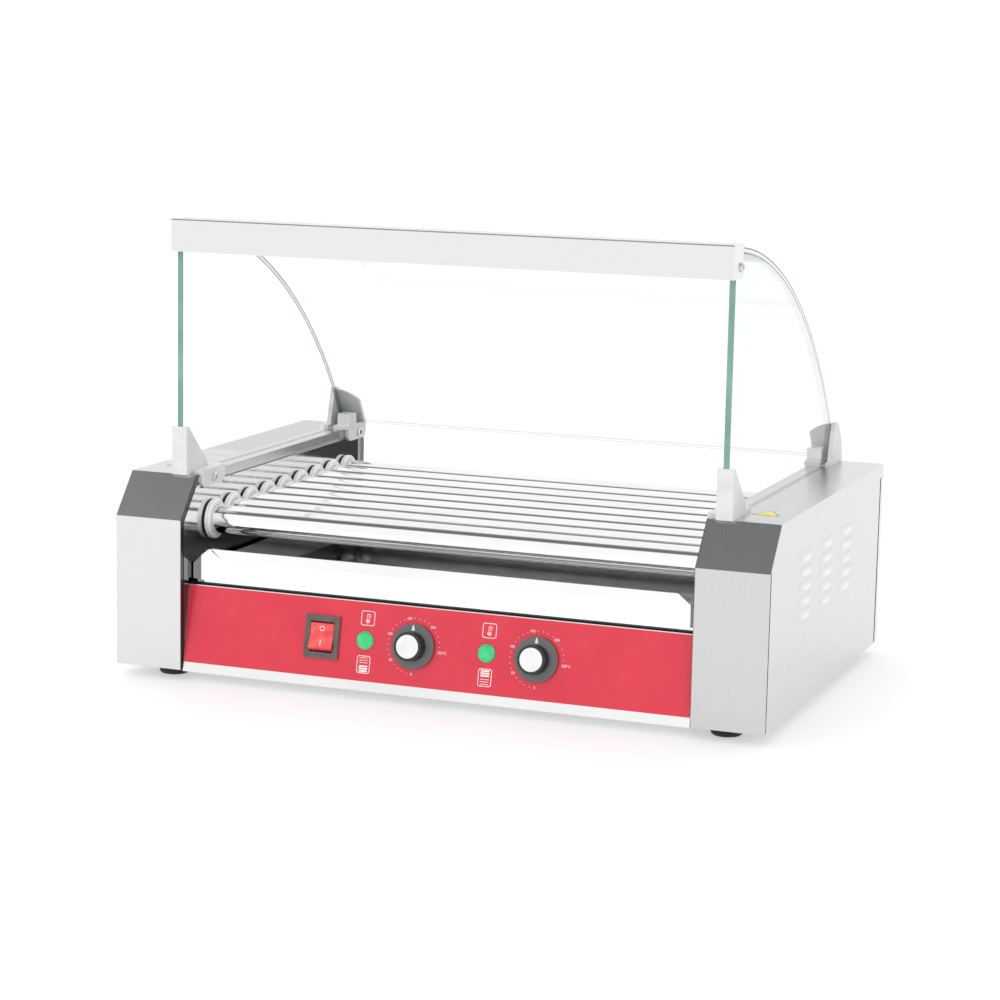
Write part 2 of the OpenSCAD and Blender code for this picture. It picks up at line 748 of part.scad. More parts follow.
module switch_housing() {
    open_w = rocker_half_w + move_gap;
    open_h = rocker_r + move_gap;
    color([0.18, 0.18, 0.17]) from_front() on_panel(switch_x, dial_up) difference() {
        union() {
            translate([-bezel[0] / 2, -bezel[1] / 2, label_t])
                cube([bezel[0], bezel[1], bezel_t - label_t]);
            translate([0.2 - switch_hole[0] / 2, 0.2 - switch_hole[1] / 2, -22])
                cube([switch_hole[0] - 0.4, switch_hole[1] - 0.4, 22 + bezel_t / 2]);
            for (y = [-8, 0, 8]) translate([-3.2, y - 0.4, -30]) cube([6.4, 0.8, 9]);
        }
        block([-open_w, -open_h, -15], [open_w, open_h, bezel_t + 1]);
        translate([0, 0, rocker_pivot]) rotate([0, 90, 0])
            cylinder(r = 1.5 + fit_gap, h = 2 * open_w + 2.4, center = true);
    }
}

// Rocker with a shallow V face, held in its off position
module switch_rocker() {
    color([0.85, 0.10, 0.12]) from_front() on_panel(switch_x, dial_up)
        translate([0, 0, rocker_pivot]) rotate([-rocker_rest, 0, 0]) {
            along_x(-rocker_half_w, rocker_half_w) intersection() {
                circle(r = rocker_r);
                polygon([[-20, -4], [20, -4], [20, 5.6 + 20 * tan(rocker_rest)], [0, 5.6],
                    [-20, 5.6 + 20 * tan(rocker_rest)]]);
            }
            rotate([0, 90, 0]) cylinder(r = 1.5, h = 2 * rocker_half_w + 2.6, center = true);
        }
}

module indicator_lamps() {
    color([0.10, 0.62, 0.30]) from_front() for (x = [left_dial_x, right_dial_x])
        on_panel(x + lamp_offset, lamp_up) rotate_extrude() polygon([[0, -18], [4.2, -18],
            [4.2, -14], [lamp_hole_r - 0.1, -14], [lamp_hole_r - 0.1, label_t], [7.6, label_t],
            [7.6, 1], [7.1, 1.6], [6, 2.3], [4, 2.7], [0, 2.9]]);
}

module each_foot() {
    for (x = [-foot_x, foot_x], y = [foot_y, body_d - foot_y]) translate([x, y, 0]) children();
}

module rubber_feet() {
    color(black) from_front() each_foot() rotate_extrude() polygon([[hole_r, foot_h - 3],
        [5.5, foot_h - 3], [5.5, 0], [foot_r - 1.5, 0], [foot_r, 1.5], [foot_r, 4],
        [foot_r - 1.5, foot_h], [hole_r, foot_h]]);
}

module foot_screws() {
    color(steel) from_front() each_foot() {
        translate([0, 0, foot_h - 3 - head_h]) cylinder(r = head_r, h = head_h);
        translate([0, 0, foot_h - 3.01]) cylinder(r = screw_r, h = 12);
    }
}

module side_glass() {
    difference() {
        along_x(glass_x - glass_t, glass_x) intersection() {
            translate([arc_y, arc_z]) circle(r = hood_r - glass_t - 0.6, $fn = 256);
            translate([glass_front_y, glass_low]) square([body_d, header_top - 4 - glass_low]);
        }
        x_axis_at(header_screw[0], header_screw[1]) cylinder(r = 2.6, h = body_w);
    }
}

module right_side_glass() { color(clear_glass) from_front() side_glass(); }
module left_side_glass() { color(clear_glass) from_front() mirror([1, 0, 0]) side_glass(); }

// Part of the ring around the hood's axis, between two radii and two angles
module arc_band(inner, outer, from, to) {
    reach = 2 * outer;
    middle = (from + to) / 2;
    translate([arc_y, arc_z]) intersection() {
        difference() {
            circle(r = outer, $fn = 256);
            circle(r = inner, $fn = 256);
        }
        polygon([[0, 0], reach * [cos(from), sin(from)], reach * [cos(middle), sin(middle)],
            reach * [cos(to), sin(to)]]);
    }
}

module curved_glass() {
    color(clear_glass) from_front() along_x(-glass_x, glass_x)
        arc_band(hood_r - glass_t, hood_r, curve_start, curve_end);
}

module header_bar() {
    low = header_top - header_h;
    back = header_y + header_d;
    inner = header_inner;
    outer = inner + header_sheet;
    color(steel) from_front() difference() {
        union() {
            block([-outer, header_y, low], [outer, header_y + header_sheet, header_top]);
            block([-outer, header_y, header_top - header_sheet], [outer, back, header_top]);
            block([-outer, header_y, low], [outer, header_y + 7, low + header_sheet]);
            both_sides() block([inner, header_y, low], [outer, back, header_top]);
        }
        x_axis_at(header_screw[0], header_screw[1]) translate([0, 0, -body_w / 2])
            cylinder(r = hole_r, h = body_w);
    }
}

// Lug outline on the inner face of a box, between two distances from the front
module lug_outline(y0, y1) {
    for (y = [y0 + lug_r, y1 - lug_r]) translate([y, lug_low + lug_r]) circle(r = lug_r);
    translate([y0 + lug_r, lug_low]) square([y1 - y0 - 2 * lug_r, lug_r]);
    translate([y0, lug_low + lug_r]) square([y1 - y0, foot_top - lug_low - lug_r]);
}

// Room for a side glass, and for nothing behind the curved glass
module glass_slot(from_y) {
    along_x(glass_x - glass_t - slot_gap, glass_x + slot_gap) intersection() {
        translate([arc_y, arc_z]) circle(r = hood_r - glass_t, $fn = 256);
        translate([from_y, glass_low - slot_gap]) square([body_d, 60]);
    }
}

module front_bracket() {
    wedge = [[26, box_h], [26, box_h + 41.6], [30, box_h + 41.6], [63, box_h + 9],
        [66, foot_top], [66, box_h]];
    difference() {
        union() {
            along_x(block_in, block_out) polygon(wedge);
            block([lug_in, front_lug_y[0], box_h], [block_out, front_lug_y[1], foot_top]);
            along_x(lug_in, lug_out) lug_outline(front_lug_y[0], front_lug_y[1]);
        }
        glass_slot(glass_front_y - slot_gap);
        x_axis_at(front_screw[0], front_screw[1]) translate([0, 0, lug_in - 1])
            cylinder(r = hole_r, h = 6);
    }
}

module rear_bracket() {
    web = [[344, foot_top], [384, foot_top], [380, 192], [370, 207], [362, 213], [354, 213],
        [350, 200]];
    web_r = 34;
    difference() {
        union() {
            block([lug_in, 338, box_h], [block_out, 384, foot_top]);
            along_x(lug_in, lug_out) lug_outline(rear_lug_y[0], rear_lug_y[1]);
            along_x(glass_x + 0.5, block_out) polygon(web);
            intersection() {
                along_x(lug_in - 2, block_out)
                    arc_band(hood_r + 0.4, hood_r + 4.4, curve_start - 2, curve_start + 12);
                along_y(330, 400) translate([block_out - 2, foot_top - 0.5]) circle(r = web_r);
                block([lug_in - 2, 330, foot_top - 0.5], [block_out, 384, box_h + 60]);
            }
            block([lug_in, 346, foot_top - 0.5], [block_in + 3.5, 361, box_h + 14]);
        }
        glass_slot(330);
        block([lug_in + 3, 349, foot_top + 1], [block_in + 0.5, 358, box_h + 20]);
        x_axis_at(rear_screw[0], rear_screw[1]) translate([0, 0, lug_in - 1])
            cylinder(r = hole_r, h = 6);
    }
}

module front_glass_brackets() { color(bracket_grey) from_front() both_sides() front_bracket(); }
module rear_glass_brackets() { color(bracket_grey) from_front() both_sides() rear_bracket(); }

// Pan-head screw with a cross recess, its head on +Z and its shank below Z = 0
module pan_head_screw(length) {
    difference() {
        rotate_extrude() polygon([[0, -length], [screw_r, -length], [screw_r, 0], [head_r, 0],
            [head_r, head_h * 0.45], [head_r * 0.85, head_h * 0.8], [head_r * 0.5, head_h],
            [0, head_h]]);
        for (a = [45, 135]) rotate(a) translate([-2.2, -0.45, head_h - 1.1]) cube([4.4, 0.9, 2]);
    }
}

module pan_head_screws() {
    length = 8;
    color(steel) from_front() {
        both_sides() {
            for (s = [front_screw, rear_screw]) translate([lug_in, s[0], s[1]])
                rotate([0, -90, 0]) pan_head_screw(length);
            translate([header_inner + header_sheet, header_screw[0], header_screw[1]])
                rotate([0, 90, 0]) pan_head_screw(length);
            for (z = back_screw_z) translate([back_screw_x, body_d, z])
                rotate([-90, 0, 0]) pan_head_screw(length);
        }
        for (i = [-1:1]) translate([i * sill_screw_step, sill_screw_y, panel_z])
            rotate([180, 0, 0]) pan_head_screw(length);
    }
}

// Cable gland in the back panel, with its empty cable bore
module cable_gland() {
    color(black) from_front() translate([gland_pos[0], body_d, gland_pos[1]]) rotate([-90, 0, 0])
        difference() {
            union() {
                translate([0, 0, -12]) cylinder(r = gland_r, h = 12.5);
                cylinder(r = 12, h = 3);
                translate([0, 0, 2.5]) cylinder(r = 9.5, h = gland_out - 2.5);
                translate([0, 0, -sheet - 4.2]) cylinder(r = 12, h = 4);
            }
            translate([0, 0, -13]) cylinder(r = 4.2, h = 30);
        }
}

module terminal_block() {
    low = [x_out - 30, 300, z0 + sheet + gap + wall_t + 0.1];
    color("white") from_front() difference() {
        block([low[0], low[1], z0 + sheet], [low[0] + 18, low[1] + 48, low[2] + 14]);
        for (k = [0:4]) {
            translate([low[0] + 5, low[1] + 6 + k * 9, low[2] + 4]) cylinder(r = 1.8, h = 20);
            translate([low[0] + 13, low[1] + 6 + k * 9, low[2] + 4]) cylinder(r = 1.8, h = 20);
        }
    }
}

base_pan();
back_panel();
control_panel();
panel_label();
left_side_cover();
right_side_cover();
left_front_cover();
right_front_cover();
left_inner_wall();
right_inner_wall();
tray_deck();
drip_tray();
roller_bushes();
roller_seals();
roller(1);  // roller_1
roller(2);  // roller_2
roller(3);  // roller_3
roller(4);  // roller_4
roller(5);  // roller_5
roller(6);  // roller_6
roller(7);  // roller_7
roller(8);  // roller_8
roller(9);  // roller_9
sprocket(1);  // sprocket_1
sprocket(2);  // sprocket_2
sprocket(3);  // sprocket_3
sprocket(4);  // sprocket_4
sprocket(5);  // sprocket_5
sprocket(6);  // sprocket_6
sprocket(7);  // sprocket_7
sprocket(8);  // sprocket_8
sprocket(9);  // sprocket_9
heating_rods();
rod_supports();
drive_chain();
gear_motor();
motor_shaft();
motor_sprocket();
motor_bracket();
thermostats();
left_spindle();
right_spindle();
left_knob();
right_knob();
left_knob_cap();
right_knob_cap();
switch_housing();
switch_rocker();
indicator_lamps();
rubber_feet();
foot_screws();
left_side_glass();
right_side_glass();
curved_glass();
header_bar();
front_glass_brackets();
rear_glass_brackets();
pan_head_screws();
cable_gland();
terminal_block();
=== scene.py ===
"""Looks of a hot dog roller grill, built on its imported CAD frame. Lengths are in metres."""
import math

import bmesh
import bpy
from mathutils import Matrix, Vector


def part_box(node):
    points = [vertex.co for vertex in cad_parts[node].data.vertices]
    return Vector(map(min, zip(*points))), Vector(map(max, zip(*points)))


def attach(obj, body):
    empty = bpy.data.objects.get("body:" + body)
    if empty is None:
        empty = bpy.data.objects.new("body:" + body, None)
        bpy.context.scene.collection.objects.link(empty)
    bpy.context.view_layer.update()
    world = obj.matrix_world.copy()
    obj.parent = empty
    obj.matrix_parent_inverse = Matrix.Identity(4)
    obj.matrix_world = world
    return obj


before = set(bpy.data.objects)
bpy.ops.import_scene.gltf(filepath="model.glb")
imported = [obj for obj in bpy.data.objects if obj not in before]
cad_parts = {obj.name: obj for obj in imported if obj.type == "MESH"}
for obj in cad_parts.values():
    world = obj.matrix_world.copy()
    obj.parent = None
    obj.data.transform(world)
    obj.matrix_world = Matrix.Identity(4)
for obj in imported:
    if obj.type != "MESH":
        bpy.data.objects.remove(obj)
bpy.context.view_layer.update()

MM = 0.001

# ---------------------------------------------------------------- places from the CAD frame
PANEL_LEAN = math.radians(10.4)
PANEL_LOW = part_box("control_panel")[0]
LABEL_FACE = 0.3 * MM
DIAL_UP = 41.8 * MM
SKIRT_TOP = 4 * MM
ROCKER_PIVOT = -3 * MM
ROCKER_REST = math.radians(9)
ROCKER_V = 5.6 * MM
PRINT_T = 0.05 * MM
HOOD_RADIUS = 417 * MM
HOOD_AXIS_FORWARD = 8 * MM
PANE_T = 5 * MM
PANE_X = 245.5 * MM
LOUVRE_OUT = 1.7 * MM


def centre_x(node):
    low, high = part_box(node)
    return (low.x + high.x) / 2


def on_panel(x, up, out=0.0):
    """Local frame on the control panel: X across, Y up the panel, Z out of its face."""
    origin = Matrix.Translation((x, PANEL_LOW.y, PANEL_LOW.z))
    lean = Matrix.Rotation(math.radians(90) - PANEL_LEAN, 4, "X")
    return origin @ lean @ Matrix.Translation((0, up, out))


# ---------------------------------------------------------------- materials
class Nodes:
    """Short ways to add linked nodes to a node tree."""

    def __init__(self, tree):
        self.tree = tree

    def new(self, kind):
        return self.tree.nodes.new("ShaderNode" + kind)

    def link(self, a, b):
        self.tree.links.new(a, b)

    def feed(self, inputs, values):
        """Give inputs their values in order: sockets are linked, the rest are set."""
        for socket, value in zip(inputs, values):
            if isinstance(value, bpy.types.NodeSocket):
                self.link(value, socket)
            else:
                socket.default_value = value

    def math(self, operation, *values, clamp=False):
        node = self.new("Math")
        node.operation = operation
        node.use_clamp = clamp
        self.feed(node.inputs, values)
        return node.outputs["Value"]

    def vector(self, operation, *values):
        node = self.new("VectorMath")
        node.operation = operation
        self.feed(node.inputs, values)
        gives_number = operation in ("DOT_PRODUCT", "LENGTH")
        return node.outputs["Value" if gives_number else "Vector"]

    def mix_colours(self, share, first, second):
        """Mix two colours; each is a socket or an RGBA value."""
        node = self.new("Mix")
        node.data_type = "RGBA"
        self.feed([node.inputs[i] for i in MIX_COLOUR_INPUTS], (share, first, second))
        return node.outputs[MIX_COLOUR_OUTPUT]

    def mix_shaders(self, share, first, second):
        node = self.new("MixShader")
        self.feed(node.inputs, (share, first, second))
        return node.outputs["Shader"]

    def spread(self, fac, low, high, start=0.35, end=0.65):
        """A number that goes from low to high while fac goes from start to end."""
        node = self.new("MapRange")
        node.inputs["From Min"].default_value = start
        node.inputs["From Max"].default_value = end
        node.inputs["To Min"].default_value = low
        node.inputs["To Max"].default_value = high
        self.link(fac, node.inputs["Value"])
        return node.outputs["Result"]


# A Mix node repeats its socket names for each data type. These are the factor and the colours.
MIX_COLOUR_INPUTS = (0, 6, 7)
MIX_COLOUR_OUTPUT = 2


class Surface(Nodes):
    """A Principled material whose colour, roughness and bump follow noise in object space."""

    def __init__(self, name, colour, roughness, metallic=0.0, **sockets):
        self.material = bpy.data.materials.new(name)
        self.material.use_nodes = True
        super().__init__(self.material.node_tree)
        self.shader = self.tree.nodes["Principled BSDF"]
        self.set("Base Color", (*colour, 1))
        self.set("Roughness", roughness)
        self.set("Metallic", metallic)
        for key, value in sockets.items():
            self.set(key.replace("_", " "), value)
        self.coordinates = self.new("TexCoord").outputs["Object"]
        self.last_normal = None

    def set(self, socket, value):
        self.shader.inputs[socket].default_value = value

    def noise(self, scale, detail=4.0, rough=0.55):
        """Noise with so many features per metre along X, Y and Z."""
        mapping = self.new("Mapping")
        mapping.inputs["Scale"].default_value = scale
        texture = self.new("TexNoise")
        texture.inputs["Scale"].default_value = 1.0
        texture.inputs["Detail"].default_value = detail
        texture.inputs["Roughness"].default_value = rough
        self.link(self.coordinates, mapping.inputs["Vector"])
        self.link(mapping.outputs["Vector"], texture.inputs["Vector"])
        return texture.outputs["Fac"]

    def colours(self, fac, dark, light, start=0.35, end=0.65):
        ramp = self.new("ValToRGB")
        ramp.color_ramp.elements[0].position = start
        ramp.color_ramp.elements[1].position = end
        ramp.color_ramp.elements[0].color = (*dark, 1)
        ramp.color_ramp.elements[1].color = (*light, 1)
        self.link(fac, ramp.inputs["Fac"])
        self.link(ramp.outputs["Color"], self.shader.inputs["Base Color"])

    def roughness(self, fac, low, high):
        self.link(self.spread(fac, low, high), self.shader.inputs["Roughness"])

    def bump(self, fac, strength, depth):
        node = self.new("Bump")
        node.inputs["Strength"].default_value = strength
        node.inputs["Distance"].default_value = depth
        self.link(fac, node.inputs["Height"])
        if self.last_normal is not None:
            self.link(self.last_normal, node.inputs["Normal"])
        self.last_normal = node.outputs["Normal"]
        self.link(self.last_normal, self.shader.inputs["Normal"])


def grain(along, fine=1400.0, long=9.0):
    """Noise scale of brush lines that run along the named axes."""
    return tuple(long if axis in along else fine for axis in "XYZ")


CLOUD_SHARE = 0.6


def brushed(name, along, colour=0.66, rough=(0.262, 0.278), fine=2600.0, strength=0.004):
    """Brushed stainless sheet: fine lines and soft clouds, both very faint."""
    s = Surface(name, (colour,) * 3, rough[0], metallic=1.0)
    lines = s.noise(grain(along, fine), 2.0, 0.6)
    clouds = s.noise((11, 11, 11), 3.0, 0.55)
    blend = s.new("Mix")
    s.feed([blend.inputs[name] for name in ("Factor", "A", "B")], (CLOUD_SHARE, lines, clouds))
    mixed = blend.outputs["Result"]
    s.colours(mixed, (colour * 0.995,) * 3, (min(colour * 1.004, 1.0),) * 3)
    s.roughness(mixed, *rough)
    s.bump(lines, strength, 0.01 * MM)
    return s


def position(s, axis):
    """A coordinate in object space; X counts both ways from the middle."""
    node = s.new("SeparateXYZ")
    s.link(s.coordinates, node.inputs["Vector"])
    return s.math("ABSOLUTE", node.outputs[axis]) if axis == "X" else node.outputs[axis]


def recolour(s, colour, share):
    """Mix another colour into the base colour by a share."""
    base = s.shader.inputs["Base Color"]
    s.link(s.mix_colours(share, base.links[0].from_socket, (*colour, 1)), base)


def band(s, *limits):
    """1 where the position is inside all of the (axis, low, high) limits, else 0."""
    total = None
    for axis, low, high in limits:
        inside = s.math("COMPARE", position(s, axis), (low + high) / 2, (high - low) / 2)
        total = inside if total is None else s.math("MULTIPLY", total, inside)
    return total


def polished(name, colour=0.80, rough=(0.05, 0.13), along="X"):
    """Bright rolled sheet with hairlines and a faint waviness."""
    s = Surface(name, (colour,) * 3, rough[0], metallic=1.0)
    lines = s.noise(grain(along, 900.0, 14.0), 2.0, 0.6)
    waves = s.noise((7, 7, 7), 2.0, 0.5)
    s.colours(waves, (colour * 0.95,) * 3, (min(colour * 1.03, 1.0),) * 3)
    s.roughness(lines, *rough)
    s.bump(lines, 0.12, 0.01 * MM)
    s.bump(waves, 0.35, 0.25 * MM)
    return s


def roller_steel():
    """Ground tube: faint rings round it, and a haze in its colour and gloss."""
    s = Surface("roller_tube", (0.92, 0.92, 0.92), 0.09, metallic=1.0)
    rings = s.noise((1500, 30, 30), 3.0, 0.7)
    haze = s.noise((9, 40, 40), 3.0, 0.6)
    s.colours(haze, (0.90, 0.898, 0.895), (0.96, 0.96, 0.96))
    s.roughness(haze, 0.06, 0.12)
    s.bump(rings, 0.05, 0.01 * MM)
    return s.material


def plastic(name, dark, light, rough, texture=900.0, strength=0.15, **sockets):
    """Moulded plastic with a fine spark-eroded texture and slightly uneven colour."""
    s = Surface(name, light, rough[0], **sockets)
    s.colours(s.noise((60, 60, 60), 3.0), dark, light)
    fine = s.noise((texture,) * 3, 2.0)
    s.roughness(fine, *rough)
    s.bump(fine, strength, 0.03 * MM)
    return s.material


def metal(name, dark, light, rough, scale=250.0, strength=0.2):
    """Small metal parts: cloudy colour and a slightly uneven face."""
    s = Surface(name, light, rough[0], metallic=1.0)
    cloud = s.noise((scale,) * 3, 4.0)
    s.colours(cloud, dark, light)
    s.roughness(cloud, *rough)
    s.bump(s.noise((scale * 4,) * 3, 2.0), strength, 0.02 * MM)
    return s.material


def red_label():
    """Printed polyester film: nearly even red, with a slightly uneven gloss."""
    s = Surface("red_label", (0.60, 0.020, 0.040), 0.22, Coat_Weight=0.15, Coat_Roughness=0.08)
    s.colours(s.noise((25, 25, 25), 5.0), (0.63, 0.020, 0.046), (0.67, 0.026, 0.054))
    s.roughness(s.noise((120, 120, 120), 4.0), 0.18, 0.30)
    s.bump(s.noise((700, 700, 700), 2.0), 0.015, 0.02 * MM)
    return s.material


def face_dot(s, direction):
    """How far the surface looks along a direction, a fixed one or a vector socket."""
    return s.vector("DOT_PRODUCT", s.new("NewGeometry").outputs["Normal"], direction)


def away_from_axis(s, centre):
    """Vector away from an axis along X."""
    return s.vector("MULTIPLY", s.vector("SUBTRACT", s.coordinates, centre), (0, 1, 1))


def below(s, value, limit, gives):
    """gives where value is under limit, else 0."""
    return s.math("MULTIPLY", s.math("LESS_THAN", value, limit), gives)


BENT_EDGE = 0.25
BENT_RIM = 1.0
BENT_FOOT = 0.35
FLAT_EDGE = 0.14
EDGE_ON = 0.7


def bent_edges(s, centre):
    """How much green edge the bent pane shows: its rims, and less on its lower corners."""
    away = away_from_axis(s, centre)
    across = s.math("ABSOLUTE", face_dot(s, s.vector("NORMALIZE", away)))
    middle = HOOD_RADIUS - PANE_T / 2
    off_middle = s.math("ABSOLUTE", s.math("SUBTRACT", s.vector("LENGTH", away), middle))
    rims = s.spread(off_middle, BENT_EDGE, BENT_RIM, 1.0 * MM, 1.6 * MM)
    sides = s.spread(position(s, "X"), BENT_FOOT, 1.0, PANE_X - 1 * MM, PANE_X - 0.5 * MM)
    return s.math("MULTIPLY", s.math("MULTIPLY", below(s, across, EDGE_ON, 1.0), rims), sides)


def flat_edges(s):
    """How much green edge a flat pane shows: all of its front edge, a little of the others."""
    across = s.math("ABSOLUTE", face_dot(s, (1, 0, 0)))
    front_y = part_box("left_side_glass")[0].y + 0.5 * MM
    front = below(s, position(s, "Y"), front_y, 1 - FLAT_EDGE)
    return s.math("ADD", below(s, across, EDGE_ON, FLAT_EDGE), front)


def pane_glass(name, dark, light, centre=None):
    """Clear float glass, bent round centre or flat: faint smears, ground green edges."""
    s = Surface(name, light, 0.18)
    s.colours(s.noise((30, 200, 30), 3.0), dark, light)
    s.bump(s.noise((500, 500, 500), 2.0), 0.2, 0.05 * MM)
    clear = s.new("BsdfTransparent")
    clear.inputs["Color"].default_value = (0.984, 0.992, 0.989, 1)
    shine = s.new("BsdfGlossy")
    smears = s.spread(s.noise((18, 18, 9), 5.0, 0.65), 0.01, 0.07, 0.5, 0.8)
    s.link(smears, shine.inputs["Roughness"])
    fresnel = s.new("Fresnel")
    fresnel.inputs["IOR"].default_value = 1.45
    inside = s.new("NewGeometry").outputs["Backfacing"]
    outer_only = s.math("SUBTRACT", fresnel.outputs["Fac"], inside, clamp=True)
    face = s.mix_shaders(outer_only, clear.outputs["BSDF"], shine.outputs["BSDF"])
    edges = flat_edges(s) if centre is None else bent_edges(s, centre)
    pane = s.mix_shaders(edges, face, s.shader.outputs["BSDF"])
    s.link(pane, s.tree.nodes["Material Output"].inputs["Surface"])
    return s.material


def hood_centre():
    """The axis of the hood's arc, from the top of the bent pane and the header's front."""
    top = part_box("curved_glass")[1].z
    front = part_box("header_bar")[0].y
    return Vector((0, front - HOOD_AXIS_FORWARD, top - HOOD_RADIUS))


def lens_green():
    s = Surface("green_lens", (0.02, 0.50, 0.17), 0.12, Coat_Weight=0.6, Coat_Roughness=0.05)
    s.set("Emission Color", (0.02, 0.55, 0.18, 1))
    s.set("Emission Strength", 0.15)
    s.colours(s.noise((220, 220, 220), 2.0), (0.015, 0.42, 0.14), (0.03, 0.58, 0.21))
    s.bump(s.noise((600, 600, 600), 1.0), 0.15, 0.05 * MM)
    return s.material


def rocker_red():
    s = Surface("red_rocker", (0.80, 0.06, 0.06), 0.15, Coat_Weight=0.5, Coat_Roughness=0.06)
    s.set("Subsurface Weight", 0.15)
    s.set("Subsurface Scale", 2 * MM)
    s.colours(s.noise((120, 120, 120), 3.0), (0.72, 0.03, 0.04), (0.88, 0.10, 0.09))
    s.roughness(s.noise((300, 300, 300), 3.0), 0.12, 0.24)
    return s.material


def knob_plastic():
    """Satin grey skirt and black grip, moulded with a fine texture."""
    s = Surface("knob_plastic", (0.11, 0.115, 0.115), 0.35)
    out = on_panel(0, 0).to_3x3() @ Vector((0, 0, 1))
    height = s.vector("DOT_PRODUCT", s.coordinates, out)
    face = out.dot(on_panel(0, 0, SKIRT_TOP + 0.4 * MM).translation)
    above = s.spread(height, 0.0, 1.0, face - 0.2 * MM, face + 0.2 * MM)
    fine = s.noise((900, 900, 900), 2.0)
    worn = s.math("SUBTRACT", above, s.spread(fine, 0.0, 0.12))
    s.colours(worn, (0.115, 0.12, 0.12), (0.012, 0.012, 0.012), 0.0, 1.0)
    s.roughness(fine, 0.30, 0.45)
    s.bump(fine, 0.12, 0.03 * MM)
    return s.material


# Painted light and shade, placed by position. They only set how light a face looks, not what it is
# made of.
RETURN_SHADE = 0.10
FOLD_SHADE = 0.30
FLANGE_SHADE = 0.03
WALL_SHADE = 0.22
LOUVRE_HIGHLIGHT = 0.80
BAND_SLACK = 0.4 * MM
WALL_DARK_TO = 118 * MM
WALL_BRIGHT_FROM = 142 * MM


# The two covers are the same steel; their colours differ only as painted light and shade, the left
# one lighter and the right one darker.
FRONT_LIGHT_AND_SHADE = {"left": 0.73, "right": 0.62}


def front_steel(name, colour):
    """Front sheet; its inner return is darkened by position as painted shade."""
    s = brushed(name, "YZ", colour)
    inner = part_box("right_front_cover")[0].x
    recolour(s, (RETURN_SHADE,) * 3, band(s, ("X", inner - BAND_SLACK, inner + BAND_SLACK)))
    return s.material


def side_steel():
    """Side sheet; its louvres are lightened by position as a painted highlight, brightest at their
    tips.
    """
    s = brushed("brushed_front_to_back", "Y", 0.66)
    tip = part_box("right_side_cover")[1].x
    recolour(s, (LOUVRE_HIGHLIGHT,) * 3, s.spread(position(s, "X"), 0.0, 1.0, tip - LOUVRE_OUT, tip))
    return s.material


def header_steel():
    """Header sheet; a narrow line along its top front fold is darkened by position as painted
    shade.
    """
    s = brushed("header_steel", "X", 0.76)
    low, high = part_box("header_bar")
    fold = band(s, ("Z", high.z - 1.1 * MM, high.z + 1 * MM),
                ("Y", low.y - 1 * MM, low.y + 0.45 * MM))
    recolour(s, (FOLD_SHADE,) * 3, fold)
    return s.material


def panel_steel():
    """Bright sheet; the flange behind the panel's top edge is darkened by position as painted
    shade.
    """
    s = polished("panel_steel", 0.86, (0.14, 0.24))
    low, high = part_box("control_panel")
    back = low.y + (high.z - low.z) * math.tan(PANEL_LEAN) + 1.2 * MM
    flange = band(s, ("Y", back, high.y + 1 * MM), ("Z", high.z - 2 * MM, high.z + 1 * MM))
    recolour(s, (FLANGE_SHADE,) * 3, flange)
    return s.material


def wall_steel():
    """Polished wall, darkened by position below the rollers as painted shade."""
    s = polished("wall_steel", 0.80, (0.06, 0.14), "Y")
    low = s.spread(position(s, "Z"), 1.0, 0.0, WALL_DARK_TO, WALL_BRIGHT_FROM)
    recolour(s, (WALL_SHADE,) * 3, low)
    return s.material


NINE = range(1, 10)
steel_x = brushed("brushed_across", "X", 0.75).material
steel_y = side_steel()
tray_steel = polished("tray_steel", 0.92, (0.05, 0.11)).material
# Painted shade: the polished deck under the tray is coloured nearly black, for the shade in the gap
# below the tray.
deck_shade_steel = polished("deck_shade_steel", 0.06, (0.30, 0.42)).material
pan_steel = metal("galvanised_pan", (0.42, 0.43, 0.45), (0.62, 0.63, 0.65), (0.30, 0.5), 60.0)
tube_steel = roller_steel()
chain_steel = metal("chain_steel", (0.20, 0.19, 0.18), (0.45, 0.44, 0.43), (0.25, 0.45))
screw_steel = metal("screw_steel", (0.60, 0.60, 0.60), (0.82, 0.82, 0.82), (0.15, 0.3))
white_ptfe = plastic("white_ptfe", (0.80, 0.79, 0.76), (0.88, 0.875, 0.86), (0.35, 0.5),
                     Subsurface_Weight=0.1, Subsurface_Scale=3 * MM)
black_rubber = plastic("black_rubber", (0.012, 0.012, 0.012), (0.03, 0.03, 0.03), (0.6, 0.8), 500)
bracket_grey = plastic("bracket_grey", (0.64, 0.64, 0.635), (0.71, 0.71, 0.705), (0.32, 0.45))
cable_black = plastic("cable_black", (0.02, 0.02, 0.02), (0.04, 0.04, 0.04), (0.4, 0.55))

bright_wall = wall_steel()

